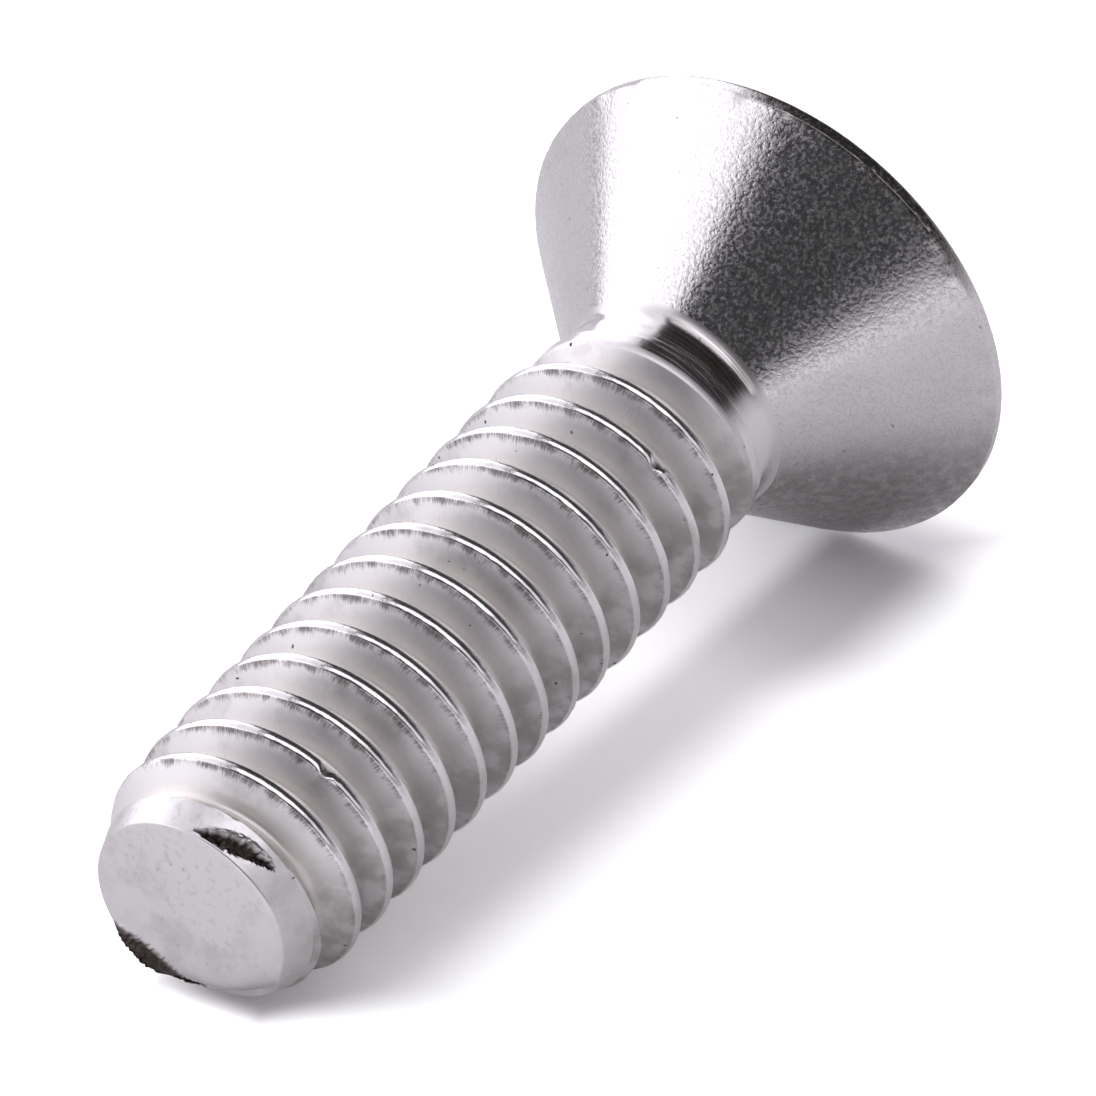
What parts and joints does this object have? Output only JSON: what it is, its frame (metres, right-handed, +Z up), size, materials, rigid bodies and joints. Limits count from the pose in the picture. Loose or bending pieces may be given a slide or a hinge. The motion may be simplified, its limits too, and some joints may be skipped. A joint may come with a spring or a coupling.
{
  "type": "countersunk machine screw",
  "caption": "Countersunk machine screw with a conical seat, a cross recess in its flat top, a plain neck and a right-hand rolled thread that ends in a bevelled point.",
  "frame": {"origin": "bottom centre of the lying screw's box, on the ground it lies on", "axes": "+X along the lying screw from its point to its head, +Z up; the screw's own axis rises 8.3 degrees from +X towards +Z"},
  "size_m": [0.0252, 0.0124, 0.0124],
  "materials": {
    "stainless_steel": "worn stainless steel: forged grain under the head, polished neck, satin rolled thread"
  },
  "bodies": {
    "root": {"screw": "stainless_steel"}
  },
  "joints": []
}
